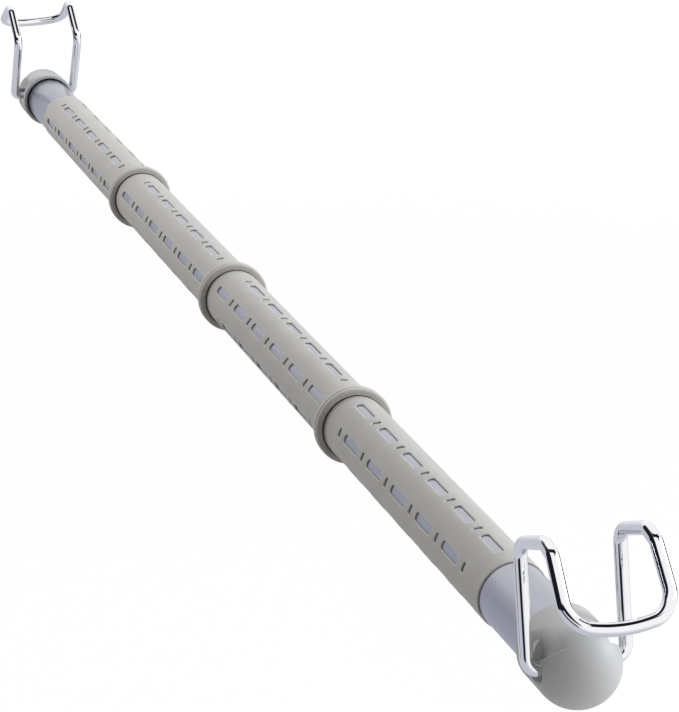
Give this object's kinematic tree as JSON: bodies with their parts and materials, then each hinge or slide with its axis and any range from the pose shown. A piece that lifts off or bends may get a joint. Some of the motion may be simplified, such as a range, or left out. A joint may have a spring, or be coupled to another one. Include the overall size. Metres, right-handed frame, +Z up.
{
  "type": "car clothes hanger bar",
  "caption": "Telescopic clothes rail for a car's rear seat, with slotted rubber grip sleeves, spacer rings, domed end caps and folding bent-wire hooks.",
  "frame": {"origin": "on the bar's axis at the middle joint of the four grip sleeves, with the bar retracted", "axes": "+X along the bar towards the near end, where the inner tube draws out; +Z up, the way the hooks stand; +Y to the right seen from the near end"},
  "size_m": [0.9148, 0.043, 0.0759],
  "materials": {
    "tube_steel": "satin plated steel tube",
    "grip_rubber": "matte warm grey soft rubber",
    "ring_rubber": "matte beige-grey rubber",
    "cap_plastic": "matte grey moulded plastic",
    "plug_nylon": "natural nylon",
    "lock_nylon": "black nylon",
    "hook_chrome": "bright chromed steel wire"
  },
  "bodies": {
    "outer_bar": {"outer_tube": "tube_steel", "grip_sleeve_1": "grip_rubber", "grip_sleeve_2": "grip_rubber", "grip_sleeve_3": "grip_rubber", "grip_sleeve_4": "grip_rubber", "spacer_ring_1": "ring_rubber", "spacer_ring_2": "ring_rubber", "spacer_ring_3": "ring_rubber", "far_cap": "cap_plastic", "far_cap_plug": "plug_nylon"},
    "lock_ring": {"lock_ring": "lock_nylon"},
    "inner_bar": {"inner_tube": "tube_steel", "lock_plug": "lock_nylon", "near_cap": "cap_plastic", "near_cap_plug": "plug_nylon"},
    "near_hook": {"near_hook": "hook_chrome"},
    "far_hook": {"far_hook": "hook_chrome"}
  },
  "joints": [
    {"name": "inner_slide", "type": "slide", "parent": "outer_bar", "child": "lock_ring", "axis": [1, 0, 0], "range_m": [0, 0.56]},
    {"name": "inner_twist", "type": "hinge", "parent": "lock_ring", "child": "inner_bar", "pos_m": [-0.3755, 0, 0], "axis": [1, 0, 0], "range_deg": [-25, 25]},
    {"name": "near_hook_fold", "type": "hinge", "parent": "inner_bar", "child": "near_hook", "pos_m": [0.4187, 0, 0], "axis": [0, 1, 0], "range_deg": [-78.9, 51]},
    {"name": "far_hook_fold", "type": "hinge", "parent": "outer_bar", "child": "far_hook", "pos_m": [-0.4276, 0, 0], "axis": [0, -1, 0], "range_deg": [-61, 69]}
  ]
}
